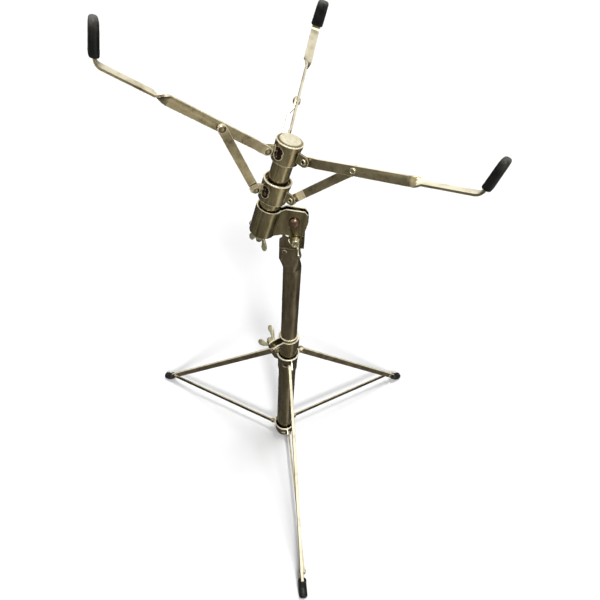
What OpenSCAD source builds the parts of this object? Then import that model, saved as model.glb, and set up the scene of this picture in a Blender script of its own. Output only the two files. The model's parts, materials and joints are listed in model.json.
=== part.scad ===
// Folding three-legged drum stand with a tilting three-armed basket.
// Millimetres, +Z up, standing on the floor at z = 0.

/* [Placement] */
// where the post stands along X
post_x = 11.1; // [-60:0.1:60]
// where the post stands along Y
post_y = 33.6; // [-60:0.1:60]

/* [Tubes] */
// outside diameter of the lower tube
lower_od = 25.4; // [22:0.1:32]
// bore of the lower tube
lower_id = 22.3; // [18:0.1:29]
// lower end of the lower tube
lower_foot = 6.6; // [4:0.1:20]
// mouth of the lower tube
lower_top = 261.5; // [200:0.5:320]
// outside diameter of the upper tube
upper_od = 22.2; // [16:0.1:28]
// bore of the upper tube
upper_id = 19.8; // [12:0.1:25]
// lower end of the upper tube
upper_foot = 130; // [60:1:200]
// where the upper tube starts to flatten
flat_start = 388; // [350:1:430]
// where the flattened mouth begins in full
flat_low = 400; // [390:0.5:420]
// where the flattened mouth ends
flat_top = 417.7; // [400:0.5:440]
// width of the flattened mouth
flat_w = 25; // [20:0.5:32]
// thickness of the flattened mouth
flat_t = 8.4; // [6:0.1:14]
// sideways shift of the flattened mouth
flat_shift = -3.8; // [-5:0.1:5]

/* [Legs] */
// direction of the front leg
az_front = -79; // [-120:1:0]
// direction of the right leg
az_right = 32; // [0:1:80]
// direction of the left leg
az_left = 160; // [120:1:200]
// radius of the leg pivots
leg_r = 22.7; // [18:0.1:30]
// height of the leg pivots
leg_z = 213.5; // [180:0.5:240]
// radius of the foot pivots
foot_r = 223; // [180:0.5:260]
// height of the foot pivots
foot_z = 23.4; // [6:0.1:40]
// radius of the boots' outer ends
boot_end_r = 250.7; // [220:0.5:280]
// height of the boots' centre line
boot_z = 6.5; // [5:0.1:10]
// depth of the leg channel
leg_d = 8.8; // [6:0.1:14]
// width of the leg channel
leg_w = 4; // [3:0.1:6]

/* [Braces] */
// radius of the inner brace pivots
brace_r = 19.9; // [17:0.1:26]
// height of the inner brace pivots
brace_z = 23.7; // [15:0.1:35]
// depth of the brace strip
brace_d = 7.4; // [5:0.1:12]
// thickness of the brace strip
brace_t = 2; // [1.5:0.1:4]

/* [Tilter] */
// height of the tilt pivot
pivot_z = 455.4; // [400:0.1:500]
// lean of the basket at rest
lean = 14.4; // [0:0.1:38]
// distance from the tilt pivot to the basket axis
pivot_e = 31; // [26:0.1:40]
// clear gap between the tilter flanges
flange_gap = 5.4; // [4:0.1:8]
// thickness of the tilter sheet
sheet_t = 2; // [1.5:0.1:3]

/* [Basket] */
// outside diameter of the basket tube
basket_od = 21.4; // [18:0.1:25]
// azimuth of the left arm about the basket axis
arm_left_az = 206; // [180:1:230]
// azimuth of the right arm about the basket axis
arm_right_az = 326; // [300:1:350]
// azimuth of the rear arm about the basket axis
arm_rear_az = 89.5; // [60:0.5:110]
// elevation of the arms
arm_el = 22.5; // [0:0.5:60]
// length of each arm from its pivot to its bend
arm_len = 166.6; // [120:0.1:200]
// length of the upturned tips
tip_len = 31.5; // [20:0.5:45]
// width of the arm strip
arm_w = 9.5; // [8:0.1:14]
// thickness of the arm strip
arm_t = 2.2; // [1.5:0.1:3]
// distance of the strut pivots along the arms
strut_on_arm = 53.65; // [40:0.1:80]
// width of the strut strip
strut_w = 9; // [7:0.1:13]

/* [Hidden] */
$fn = 48;

nickel = [0.62, 0.58, 0.47];
brown = [0.36, 0.30, 0.22];
rubber = [0.08, 0.08, 0.08];
cream = [0.85, 0.82, 0.70];

eps = 0.01;
move_gap = 0.35;
running = 0.06;
pin_r = 2;
leg_ang = atan2(leg_z - foot_z, foot_r - leg_r);
leg_len = norm([foot_r - leg_r, leg_z - foot_z]);
knee_r = leg_r + (leg_z - boot_z) / tan(leg_ang);
knee_bend = 8;
rivet_head_r = 3.9;

leg_ear_in = leg_w / 2 + move_gap;
ear_t = 1.7;
base_ear_in = leg_w / 2 + move_gap;
brace_in = base_ear_in + ear_t + move_gap;
brace_len = norm([foot_r - brace_r, brace_z - foot_z]);
brace_fall = atan2(brace_z - foot_z, foot_r - brace_r);
brace_foot_in = leg_w / 2 + move_gap;
brace_toe_in = atan2(brace_in - brace_foot_in, brace_len);

collar_rim_r = 16;
collar_top = 222.3;
collar_low = 188;
cup_rim_r = 16.8;
cup_top = 31;
cup_low = 3.2;
clamp_top = 256.7;
clamp_low = 238.6;
clamp_az = 220;
clamp_gap = 9;
clamp_reach = 30;
clamp_ear_h = 13.6;
clamp_bolt_z = clamp_top - clamp_ear_h / 2;
clamp_bolt_r = 2.5;
clamp_bolt_x = 22.5;
clamp_nut_turn = 130;
clamp_bolt_past = 10.5;

sleeve_in = basket_od / 2 + 0.05;
sleeve_out = 14.3;
sleeve_low = -25.7;
sleeve_top = 9.3;
flange_y = flange_gap / 2;
tilt_bolt_dx = 2.5;
tilt_bolt_dz = -22.9;
tilt_bolt_r = 2.5;
tilt_nut_turn = -45;
pivot_pin_r = 3.2;

upper_hub_low = 67.5;
upper_hub_top = 89.2;
upper_hub_r = 13.9;
arm_pivot_r = 21.7;
arm_pivot_s = 77.9;
lower_hub_low = 20;
lower_hub_top = 44.6;
lower_hub_r = 15.3;
strut_pivot_r = 22.4;
strut_pivot_s = 32.3;
hub_ear_t = 2;
hub_ear_r = 5.6;
strip_in = hub_ear_t / 2 + 0.3;
arm_main_t = 0.9;
strut_top_t = arm_main_t + arm_t / 2 + 0.3 + arm_t / 2;
strut_mid_t = 6.7;
twist_start = 106;
twist_end = 119;
bend_r = 8;
strut_dr = arm_pivot_r + strut_on_arm * cos(arm_el) - strut_pivot_r;
strut_ds = arm_pivot_s + strut_on_arm * sin(arm_el) - strut_pivot_s;
strut_len = norm([strut_dr, strut_ds]);
strut_el = atan2(strut_ds, strut_dr);
arm_azs = [arm_left_az, arm_right_az, arm_rear_az];
sleeve_screw_az = 180;
sleeve_screw_s = -19.5;
stud_r = 3;
stud_low = -41;
swivel_nut_s = -30;
swivel_nut_az = 140;

// ---------- helpers ----------

// unit normal, to the left of the way from p to q
function side(p, q) = let (d = q - p) [-d[1], d[0]] / norm(d);

// mitred offset direction at point i of a path
function mitre(pts, i) =
  i == 0 ? side(pts[0], pts[1]) :
  i == len(pts) - 1 ? side(pts[i - 1], pts[i]) :
  let (a = side(pts[i - 1], pts[i]), b = side(pts[i], pts[i + 1])) (a + b) / (1 + a * b);

// outline of a strip of constant width along a path
module ribbon(pts, w) {
  n = len(pts) - 1;
  polygon(concat(
    [for (i = [0:n]) pts[i] + mitre(pts, i) * w / 2],
    [for (i = [n:-1:0]) pts[i] - mitre(pts, i) * w / 2]
  ));
}

// arc points about c, from angle a0 to a1
function arc(c, r, a0, a1, n) =
  [for (i = [0:n]) c + r * [cos(a0 + (a1 - a0) * i / n), sin(a0 + (a1 - a0) * i / n)]];

module at_post() {
  translate([post_x, post_y, 0]) children();
}

module at_leg(az) {
  at_post() rotate([0, 0, az]) children();
}

// radial plane standing upright: X stays radial, the sketch's Y becomes Z
module upright(t0, t1) {
  translate([0, t1, 0]) rotate([90, 0, 0]) linear_extrude(t1 - t0) children();
}

// pin along the tangent, from t0 to t1
module pin(r, t0, t1) {
  translate([0, t0, 0]) rotate([-90, 0, 0]) cylinder(r = r, h = t1 - t0);
}

// domed rivet head sitting on z = 0
module dome(r, h) {
  ball = (r * r + h * h) / (2 * h);
  rotate_extrude()
    polygon(concat([[0, 0]], arc([0, h - ball], ball, asin((ball - h) / ball), 90, 6)));
}

module in_tilter() {
  at_post() translate([0, 0, pivot_z]) rotate([0, lean, 0]) translate([-pivot_e, 0, 0])
    children();
}

module in_basket(az) {
  in_tilter() rotate([0, 0, az]) children();
}

// wing outline for a wing 10 out and 10 tall, out along X and up along Z
wing_pts = [
  [2.4, 0.6], [4.5, 0.7], [8.2, 4.3], [9.7, 6.6], [10, 8.5], [9.1, 9.9],
  [7.5, 10], [6.3, 8.7], [5.2, 6.3], [3.5, 4.6], [2.4, 4.3]
];

// winged nut on a bore, base at z = 0, wings reaching out and up as given
module wing_nut(bore, out, tall) {
  difference() {
    union() {
      cylinder(r1 = 5.9, r2 = 5.0, h = 7.6);
      for (turn = [0, 180])
        rotate([0, 0, turn]) upright(-1.1, 1.1)
          polygon([for (p = wing_pts) [p[0] * out / 10, p[1] * tall / 10]]);
    }
    translate([0, 0, -1]) cylinder(r = bore, h = 10);
  }
}

// pressed sheet cup or funnel: outline rows are [radius, height]
module turned(rows) {
  rotate_extrude() polygon(rows);
}

// ---------- base ----------

module lower_tube() {
  color(nickel) at_post() difference() {
    translate([0, 0, lower_foot]) cylinder(d = lower_od, h = lower_top - lower_foot);
    translate([0, 0, lower_foot - 1]) cylinder(d = lower_id, h = lower_top);
    rotate([0, 0, clamp_az]) translate([5, -1.1, clamp_low + 1])
      cube([15, 2.2, 40]);
  }
}

// one ear lanced out of a collar, with the window that it leaves
module base_ear(r_pivot, z_pivot, rise, drop) {
  reach = r_pivot + 4.4;
  upright(base_ear_in, base_ear_in + ear_t)
    polygon([
      [lower_od / 2 + 0.6, z_pivot + rise],
      [r_pivot - 3, z_pivot + rise],
      [r_pivot + 2.2, z_pivot + 3.9],
      [reach, z_pivot + 1.4],
      [reach, z_pivot - 1.6],
      [r_pivot + 2.2, z_pivot - 4],
      [r_pivot - 3.4, z_pivot - drop],
      [lower_od / 2 + 0.6, z_pivot - drop]
    ]);
}

module bottom_collar() {
  wall_r = lower_od / 2 + 1.8;
  color(nickel) at_post() difference() {
    union() {
      turned([
        [0, cup_low], [8, cup_low], [11.4, cup_low + 0.7], [13.4, cup_low + 2.6],
        [wall_r, cup_low + 6], [wall_r + 0.5, cup_top - 8], [cup_rim_r, cup_top],
        [cup_rim_r - 1.6, cup_top], [lower_od / 2, cup_top - 8],
        [lower_od / 2, lower_foot], [0, lower_foot]
      ]);
      for (az = [az_front, az_right, az_left])
        rotate([0, 0, az]) base_ear(brace_r, brace_z, 6.2, 8);
    }
    for (az = [az_front, az_right, az_left])
      rotate([0, 0, az]) {
        translate([brace_r, 0, brace_z]) pin(pin_r, 0, 8);
        translate([lower_od / 2, -3.4, brace_z - 6]) rotate([0, 90, 0])
          cylinder(r = 3.6, h = 8);
      }
    translate([0, 0, lower_foot]) cylinder(d = lower_od, h = 60);
  }
}

module brace_rivets() {
  inner = base_ear_in;
  outer = brace_in + brace_t + move_gap;
  color(nickel)
    for (az = [az_front, az_right, az_left])
      at_leg(az) translate([brace_r, 0, brace_z]) {
        pin(pin_r, inner, outer);
        translate([0, outer, 0]) rotate([-90, 0, 0]) dome(rivet_head_r, 1.8);
      }
}

// outline of one ear of the clamp band, round at its outer corners
module clamp_ear(top) {
  r = clamp_ear_h / 2 - 1;
  low = top - clamp_ear_h;
  polygon(concat(
    [[10, low]],
    arc([clamp_reach - r, low + r], r, -90, 0, 6),
    arc([clamp_reach - r, top - r], r, 0, 90, 6),
    [[10, top]]
  ));
}

module height_clamp() {
  band_r = lower_od / 2 + 2;
  band_h = clamp_top - clamp_low;
  ear_y = clamp_gap / 2;
  color(nickel) at_post() rotate([0, 0, clamp_az]) translate([0, 0, clamp_low])
    difference() {
      union() {
        cylinder(r = band_r, h = band_h);
        upright(ear_y, ear_y + sheet_t) clamp_ear(band_h);
        upright(-ear_y - sheet_t, -ear_y) clamp_ear(band_h);
      }
      translate([0, 0, -1]) cylinder(d = lower_od, h = band_h + 2);
      translate([0, -ear_y, -1]) cube([clamp_reach + 1, 2 * ear_y, band_h + 2]);
      translate([clamp_bolt_x, 0, clamp_bolt_z - clamp_low]) pin(clamp_bolt_r, -20, 20);
    }
}

module clamp_bolt() {
  ear_y = clamp_gap / 2 + sheet_t;
  color(nickel) at_post() rotate([0, 0, clamp_az])
    translate([clamp_bolt_x, 0, clamp_bolt_z]) {
      pin(clamp_bolt_r, -ear_y - clamp_bolt_past, ear_y);
      translate([0, ear_y, 0]) rotate([-90, 0, 0]) dome(5, 2.6);
    }
}

module clamp_wing_nut() {
  ear_y = clamp_gap / 2 + sheet_t;
  color(nickel) at_post() rotate([0, 0, clamp_az])
    translate([clamp_bolt_x, -ear_y - move_gap, clamp_bolt_z])
      rotate([90, 0, 0]) rotate([0, 0, clamp_nut_turn])
        wing_nut(clamp_bolt_r + running, 14.5, 22.5);
}

// ---------- sliding leg collar ----------

module leg_collar() {
  bore = lower_od / 2 + running;
  color(nickel) at_post() difference() {
    union() {
      turned([
        [bore, collar_low], [bore + 1.3, collar_low], [bore + 1.4, collar_top - 18],
        [collar_rim_r, collar_top], [collar_rim_r - 1.5, collar_top],
        [bore, collar_top - 16]
      ]);
      for (az = [az_front, az_right, az_left])
        rotate([0, 0, az]) base_ear(leg_r, leg_z, 8.1, 12);
    }
    for (az = [az_front, az_right, az_left])
      rotate([0, 0, az]) {
        translate([leg_r, 0, leg_z]) pin(pin_r, 0, 8);
        translate([lower_od / 2 - 2, -5.5, leg_z - 6]) rotate([0, 90, 0])
          cylinder(r = 4.6, h = 10);
      }
    translate([0, 0, collar_low - 5]) cylinder(r = bore, h = 60);
  }
}

module collar_rivets() {
  outer = leg_ear_in + ear_t;
  color(nickel)
    for (az = [az_front, az_right, az_left])
      at_leg(az) translate([leg_r, 0, leg_z]) {
        pin(pin_r, leg_ear_in, outer);
        translate([0, outer, 0]) rotate([-90, 0, 0]) dome(3.4, 1.5);
      }
}

// ---------- legs ----------

function leg_path() =
  let (
    u = [cos(leg_ang), -sin(leg_ang)],
    knee = [knee_r, boot_z],
    back = knee_bend * tan(leg_ang / 2),
    c = knee + [back, knee_bend]
  )
  concat(
    [[leg_r, leg_z]],
    arc(c, knee_bend, 270 - leg_ang, 270, 6),
    [[boot_end_r - 2.4, boot_z]]
  );

module leg(az) {
  color(nickel) at_leg(az) difference() {
    union() {
      upright(-leg_w / 2, leg_w / 2) ribbon(leg_path(), leg_d);
      translate([leg_r, 0, leg_z]) pin(leg_d / 2, -leg_w / 2, leg_w / 2);
    }
    translate([0, 0, -1.6]) upright(-0.9, 0.9) ribbon(
      [for (i = [0:7]) leg_path()[i]], leg_d - 1.2);
    translate([leg_r, 0, leg_z]) pin(pin_r, -5, 5);
    translate([foot_r, 0, foot_z]) pin(pin_r + running, -5, 5);
  }
}

module leg_front() {
  leg(az_front);
}

module leg_right() {
  leg(az_right);
}

module leg_left() {
  leg(az_left);
}

boot_len = 15.5;
boot_w = 11.4;
boot_h = 13.8;
boot_sleeve = 13.2;

// rubber boot pushed over the foot end of a leg
module boot(az) {
  r = boot_w / 2;
  rise = (boot_h - boot_w) / 2;
  nose = 3.4;
  start = boot_end_r - boot_len;
  color(rubber) at_leg(az) difference() {
    union() {
      for (s = [-1, 1])
        translate([start, 0, boot_z + s * rise]) rotate([0, 90, 0]) rotate_extrude()
          polygon(concat(
            [[0, 0], [r - 2.2, 0], [r, 3]],
            arc([r - nose, boot_len - nose], nose, 0, 90, 5),
            [[0, boot_len]]
          ));
      // short sleeve lying along the sloping leg
      translate([knee_r, 0, boot_z + rise]) sphere(r = r);
      translate([knee_r, 0, boot_z]) rotate([0, leg_ang - 90, 0]) rotate_extrude()
        polygon([[0, 0], [r, 0], [r, boot_sleeve - 1], [r - 0.6, boot_sleeve],
                 [0, boot_sleeve]]);
    }
    upright(-leg_w / 2, leg_w / 2) ribbon(leg_path(), leg_d);
    // worn flat under the boot
    translate([knee_r - 40, -boot_w, -10]) cube([60, 2 * boot_w, 10]);
  }
}

module boot_front() {
  boot(az_front);
}

module boot_right() {
  boot(az_right);
}

module boot_left() {
  boot(az_left);
}

// rivet head pressed into the top of a leg
module leg_rivet(az) {
  color(nickel) at_leg(az) translate([leg_r, 0, leg_z]) {
    pin(pin_r, -leg_w / 2, leg_w / 2);
    translate([0, -leg_w / 2, 0]) rotate([90, 0, 0]) dome(rivet_head_r, 2);
  }
}

module leg_rivet_front() {
  leg_rivet(az_front);
}

module leg_rivet_right() {
  leg_rivet(az_right);
}

module leg_rivet_left() {
  leg_rivet(az_left);
}

// ---------- braces ----------

// brace frame: origin on the inner pivot, X along the strip
module at_brace(az) {
  at_leg(az) translate([brace_r, brace_in, brace_z]) rotate([0, 0, -brace_toe_in])
    rotate([0, brace_fall, 0]) children();
}

module brace(az) {
  color(nickel) at_brace(az) difference() {
    union() {
      upright(0, brace_t) polygon([
        [0, -brace_d / 2], [brace_len, -brace_d / 2],
        [brace_len, brace_d / 2], [0, brace_d / 2]
      ]);
      for (x = [0, brace_len])
        translate([x, 0, 0]) pin(brace_d / 2, 0, brace_t);
    }
    pin(pin_r + running, -1, brace_t + 1);
    translate([brace_len, 0, 0]) pin(pin_r, -1, brace_t + 1);
  }
}

module brace_front() {
  brace(az_front);
}

module brace_right() {
  brace(az_right);
}

module brace_left() {
  brace(az_left);
}

// foot rivet fixed in the brace, turning in the leg
module foot_rivet(az) {
  head_t = -(leg_w / 2 + move_gap) - brace_foot_in;
  color(nickel) at_brace(az) translate([brace_len, 0, 0]) {
    pin(pin_r, head_t, brace_t);
    translate([0, head_t, 0]) rotate([90, 0, 0]) dome(3.4, 1.3);
    translate([0, brace_t, 0]) rotate([-90, 0, 0]) dome(3.2, 1.2);
  }
}

module foot_rivet_front() {
  foot_rivet(az_front);
}

module foot_rivet_right() {
  foot_rivet(az_right);
}

module foot_rivet_left() {
  foot_rivet(az_left);
}

// ---------- upper tube and tongue ----------

tongue_left = flat_shift - flat_w / 2;
tongue_right = 12.5;
tongue_t = 4.6;
tongue_low = 402;
tongue_step = 427;
tongue_root_w = 21;
tongue_top_r = 12;
slot_r = norm([tilt_bolt_dx, tilt_bolt_dz]);
slot_from = -90 - 18.3;
slot_to = -90 + 20.7;
slot_w = tilt_bolt_r + 0.3;

module upper_tube() {
  color(brown) at_post() difference() {
    union() {
      translate([0, 0, upper_foot]) cylinder(d = upper_od, h = flat_start - upper_foot);
      hull() {
        translate([0, 0, flat_start - eps]) cylinder(d = upper_od, h = eps);
        translate([flat_shift, 0, flat_low]) flat_block(eps);
      }
      translate([flat_shift, 0, flat_low]) flat_block(flat_top - flat_low);
    }
    translate([0, 0, upper_foot - 1]) cylinder(d = upper_id, h = flat_start - upper_foot);
    translate([flat_shift - tongue_root_w / 2, -tongue_t / 2, tongue_low])
      cube([tongue_root_w, tongue_t, 40]);
    translate([flat_shift - 6, 0, flat_top - 5]) pin(pin_r, -10, 10);
  }
}

module flat_block(h) {
  r = flat_t / 2;
  for (s = [-1, 1])
    translate([s * (flat_w / 2 - r), 0, 0]) cylinder(r = r, h = h);
  translate([-flat_w / 2 + r, -r, 0]) cube([flat_w - 2 * r, 2 * r, h]);
}

module tilter_tongue() {
  color(brown) at_post() difference() {
    union() {
      upright(-tongue_t / 2, tongue_t / 2) polygon(concat(
        [
          [tongue_left, flat_top], [tongue_right, flat_top],
          [tongue_right, pivot_z - 6]
        ],
        arc([0, pivot_z], tongue_top_r, 0, 180, 12),
        [[tongue_left + 3.1, tongue_step + 3], [tongue_left, tongue_step]]
      ));
      translate([flat_shift - tongue_root_w / 2, -tongue_t / 2, tongue_low])
        cube([tongue_root_w, tongue_t, flat_top - tongue_low + 1]);
    }
    translate([0, 0, pivot_z]) pin(pivot_pin_r, -10, 10);
    upright(-10, 10) ribbon(
      arc([0, pivot_z], slot_r, slot_from, slot_to, 10), 2 * slot_w);
    for (a = [slot_from, slot_to])
      translate([slot_r * cos(a), 0, pivot_z + slot_r * sin(a)]) pin(slot_w, -10, 10);
    translate([flat_shift - 6, 0, flat_top - 5]) pin(pin_r, -10, 10);
  }
}

module tongue_rivet() {
  color(brown) at_post() translate([flat_shift - 6, 0, flat_top - 5]) {
    pin(pin_r, -flat_t / 2, flat_t / 2);
    translate([0, -flat_t / 2, 0]) rotate([90, 0, 0]) dome(2.8, 0.9);
    translate([0, flat_t / 2, 0]) rotate([-90, 0, 0]) dome(2.8, 0.9);
  }
}

module pivot_bolt() {
  front = flange_y + sheet_t + 1.5 + move_gap;
  rear = flange_y + sheet_t + move_gap;
  color(brown) at_post() translate([0, 0, pivot_z]) {
    pin(pivot_pin_r, -front, rear);
    translate([0, -front, 0]) rotate([90, 0, 0]) dome(6.1, 2.8);
    translate([0, rear, 0]) rotate([-90, 0, 0]) dome(5, 1.8);
  }
}

// ---------- tilter ----------

tilt_bolt_x = pivot_e + tilt_bolt_dx * cos(lean) - tilt_bolt_dz * sin(lean);
tilt_bolt_s = tilt_bolt_dx * sin(lean) + tilt_bolt_dz * cos(lean);

module flange_shape() {
  polygon([
    [11.6, sleeve_top], [14, sleeve_top + 0.6], [18, 13.4], [38, 16.6], [42.6, 13.2],
    [45.4, 6], [45.8, -2], [45.4, -14], [45.2, -22], [43.4, -27.5], [39.4, -30],
    [35, -29.4], [31.6, -25], [30.4, -19], [26, -19.4], [20.4, -21.2],
    [14, sleeve_low + 0.6], [11.6, sleeve_low]
  ]);
}

module tilter_sleeve() {
  color(nickel) in_tilter() difference() {
    union() {
      translate([0, 0, sleeve_low]) cylinder(r = sleeve_out, h = sleeve_top - sleeve_low);
      upright(flange_y, flange_y + sheet_t) flange_shape();
      upright(-flange_y - sheet_t, -flange_y) flange_shape();
    }
    translate([0, 0, sleeve_low - 1]) cylinder(r = sleeve_in, h = 60);
    translate([0, 0, sleeve_top - mouth_depth])
      cylinder(r = sleeve_out - mouth_wall, h = mouth_depth + 1);
    translate([8, -flange_y, sleeve_low - 1]) cube([50, flange_gap, 60]);
    translate([pivot_e, 0, 0]) pin(pivot_pin_r + running, -20, 20);
    translate([tilt_bolt_x, 0, tilt_bolt_s]) pin(tilt_bolt_r, -20, 20);
    rotate([0, 0, sleeve_screw_az]) translate([0, 0, sleeve_screw_s]) rotate([0, 90, 0])
      cylinder(r = 1.6, h = 30);
  }
}

module tilt_strap() {
  t1 = -flange_y - sheet_t;
  dx = tilt_bolt_x - pivot_e;
  color(nickel) in_tilter() difference() {
    union() {
      upright(t1 - 1.5, t1) ribbon([[pivot_e, 0], [tilt_bolt_x, tilt_bolt_s]], 11.6);
      translate([pivot_e, 0, 0]) pin(5.8, t1 - 1.5, t1);
      translate([pivot_e + dx, 0, tilt_bolt_s]) pin(5.8, t1 - 1.5, t1);
    }
    translate([pivot_e, 0, 0]) pin(pivot_pin_r + running, -20, 20);
    translate([tilt_bolt_x, 0, tilt_bolt_s]) pin(tilt_bolt_r, -20, 20);
  }
}

module tilt_bolt() {
  rear = flange_y + sheet_t;
  color(nickel) in_tilter() translate([tilt_bolt_x, 0, tilt_bolt_s]) {
    pin(tilt_bolt_r, -rear - 1.5 - 6, rear);
    translate([0, rear, 0]) rotate([-90, 0, 0]) cylinder(r = 4.8, h = 3.2, $fn = 6);
  }
}

module tilt_wing_nut() {
  front = flange_y + sheet_t + 1.5 + move_gap;
  color(nickel) in_tilter() translate([tilt_bolt_x, -front, tilt_bolt_s])
    rotate([90, 0, 0]) rotate([0, 0, tilt_nut_turn])
      wing_nut(tilt_bolt_r + running, 12.5, 17.5);
}

// small round-headed screw set in the side of the sleeve
module sleeve_screw() {
  color(nickel) in_tilter() rotate([0, 0, sleeve_screw_az])
    translate([sleeve_in + 0.4, 0, sleeve_screw_s]) rotate([0, 90, 0]) {
      head = sleeve_out - sleeve_in - 0.7;
      cylinder(r = 1.6, h = head + 0.3);
      translate([0, 0, head + 0.3]) dome(2.9, 1.4);
    }
}

// ---------- basket ----------

basket_low = sleeve_low - move_gap;
plug_r = 10.85;
mouth_depth = 5;
mouth_wall = 1.6;

module basket_tube() {
  color(nickel) in_tilter() difference() {
    translate([0, 0, basket_low]) cylinder(d = basket_od, h = upper_hub_top - basket_low);
    translate([0, 0, basket_low - 1])
      cylinder(d = basket_od - 2.4, h = upper_hub_top - basket_low + 2);
  }
}

// plug in the lower end of the basket tube, with its washer and threaded stud
module basket_stud() {
  color(nickel) in_tilter() {
    translate([0, 0, basket_low]) cylinder(d = basket_od - 2.4, h = 5);
    translate([0, 0, basket_low - 3.6]) cylinder(r1 = 8.2, r2 = 13.2, h = 3.6);
    translate([0, 0, stud_low]) cylinder(r = stud_r, h = basket_low - 3.6 - stud_low);
  }
}

module swivel_wing_nut() {
  color(nickel) in_tilter() translate([0, 0, swivel_nut_s]) rotate([180, 0, 0])
    rotate([0, 0, -swivel_nut_az]) wing_nut(stud_r + running, 12.5, 18);
}

module basket_plug() {
  color(cream) in_tilter() {
    translate([0, 0, upper_hub_top - 5]) cylinder(d = basket_od - 2.4, h = 5);
    translate([0, 0, upper_hub_top]) turned([
      [0, 0], [plug_r, 0], [plug_r, 1.2], [plug_r - 0.7, 1.8], [0, 2]
    ]);
  }
}

// snap ring that the lower hub rests on
module hub_stop_ring() {
  top = lower_hub_low - move_gap;
  color(nickel) in_tilter() difference() {
    translate([0, 0, top - 1.5]) cylinder(r = basket_od / 2 + 1, h = 1.5);
    translate([0, 0, top - 3]) cylinder(d = basket_od, h = 5);
  }
}

// ear standing in the radial plane, with its pivot at the origin
module hub_ear(root) {
  pin(hub_ear_r, -hub_ear_t / 2, hub_ear_t / 2);
  translate([-root, -hub_ear_t / 2, -hub_ear_r]) cube([root, hub_ear_t, 2 * hub_ear_r]);
}

module hub(r_out, r_in, low, top, r_pivot, s_pivot) {
  difference() {
    union() {
      translate([0, 0, low]) cylinder(r = r_out, h = top - low);
      for (az = arm_azs)
        rotate([0, 0, az]) translate([r_pivot, 0, s_pivot])
          hub_ear(r_pivot - r_in - 0.8);
    }
    translate([0, 0, low - 1]) cylinder(r = r_in, h = top - low + 2);
    for (az = arm_azs)
      rotate([0, 0, az]) {
        translate([r_pivot, 0, s_pivot]) pin(pin_r, -5, 5);
        for (rise = [-2.2, 2.2])
          translate([0, 5.8, s_pivot + rise]) rotate([0, 90, 0]) cylinder(r = 4.6, h = 20);
      }
  }
}

module upper_hub() {
  color(nickel) in_tilter()
    hub(upper_hub_r, basket_od / 2, upper_hub_low, upper_hub_top, arm_pivot_r, arm_pivot_s);
}

module lower_hub() {
  color(nickel) in_tilter() difference() {
    hub(lower_hub_r, basket_od / 2 + running, lower_hub_low, lower_hub_top,
        strut_pivot_r, strut_pivot_s);
    translate([0, 0, lower_hub_top - mouth_depth])
      cylinder(r = lower_hub_r - mouth_wall, h = mouth_depth + 1);
  }
}

// rivet through a hub ear: rolled end on one side, domed head past the strip
module hub_rivet(r_pivot, s_pivot) {
  head = strip_in + arm_t + 0.3;
  back = -hub_ear_t / 2;
  for (az = arm_azs)
    rotate([0, 0, az]) translate([r_pivot, 0, s_pivot]) {
      pin(pin_r, back, head);
      translate([0, head, 0]) rotate([-90, 0, 0]) dome(rivet_head_r, 1.4);
      difference() {
        pin(3.3, back - 1.2, back);
        pin(1.3, back - 3, back - 0.2);
      }
    }
}

module arm_rivets() {
  color(nickel) in_tilter() hub_rivet(arm_pivot_r, arm_pivot_s);
}

module strut_rivets() {
  color(nickel) in_tilter() hub_rivet(strut_pivot_r, strut_pivot_s);
}

// arm frame: origin on the arm's pivot, X along the arm
module at_arm(az) {
  in_basket(az) translate([arm_pivot_r, 0, arm_pivot_s]) rotate([0, -arm_el, 0]) children();
}

root_t = strip_in + arm_t / 2;
joggle_start = 7.5;
joggle_end = 12.5;

module arm(az) {
  turn = 90 - arm_el;
  twist_len = twist_end - twist_start;
  back = bend_r * tan(turn / 2);
  color(nickel) at_arm(az) difference() {
    union() {
      // root, joggle and straight part, standing on edge
      intersection() {
        translate([0, 0, -arm_w / 2]) linear_extrude(arm_w) ribbon([
          [-arm_w / 2, root_t], [joggle_start, root_t],
          [joggle_end, arm_main_t], [twist_start + eps, arm_main_t]
        ], arm_t);
        upright(-10, 10) union() {
          circle(r = arm_w / 2);
          translate([0, -arm_w / 2]) square([twist_start + eps, arm_w]);
        }
      }
      // quarter turn from standing to lying
      translate([twist_start, arm_main_t, 0]) rotate([0, 90, 0])
        linear_extrude(height = twist_len, twist = 90, slices = 10)
          square([arm_w, arm_t], center = true);
      // lying part, bend and upturned tip
      translate([0, arm_main_t, 0]) upright(-arm_w / 2, arm_w / 2) ribbon(concat(
        [[twist_end - eps, 0]],
        arc([arm_len - back, bend_r], bend_r, -90, -90 + turn, 6),
        [[arm_len, 0] + (tip_len - 2) * [cos(turn), sin(turn)]]
      ), arm_t);
      // rolled end of the strut rivet
      translate([strut_on_arm, arm_main_t - arm_t / 2, 0]) pin(3, -1, eps);
    }
    pin(pin_r + running, -20, 20);
  }
}

module arm_left() {
  arm(arm_left_az);
}

module arm_right() {
  arm(arm_right_az);
}

module arm_rear() {
  arm(arm_rear_az);
}

tip_low = 5.5;
tip_top = tip_len + 0.8;
tip_wide = 13.6;
tip_thick = 7.8;

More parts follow.
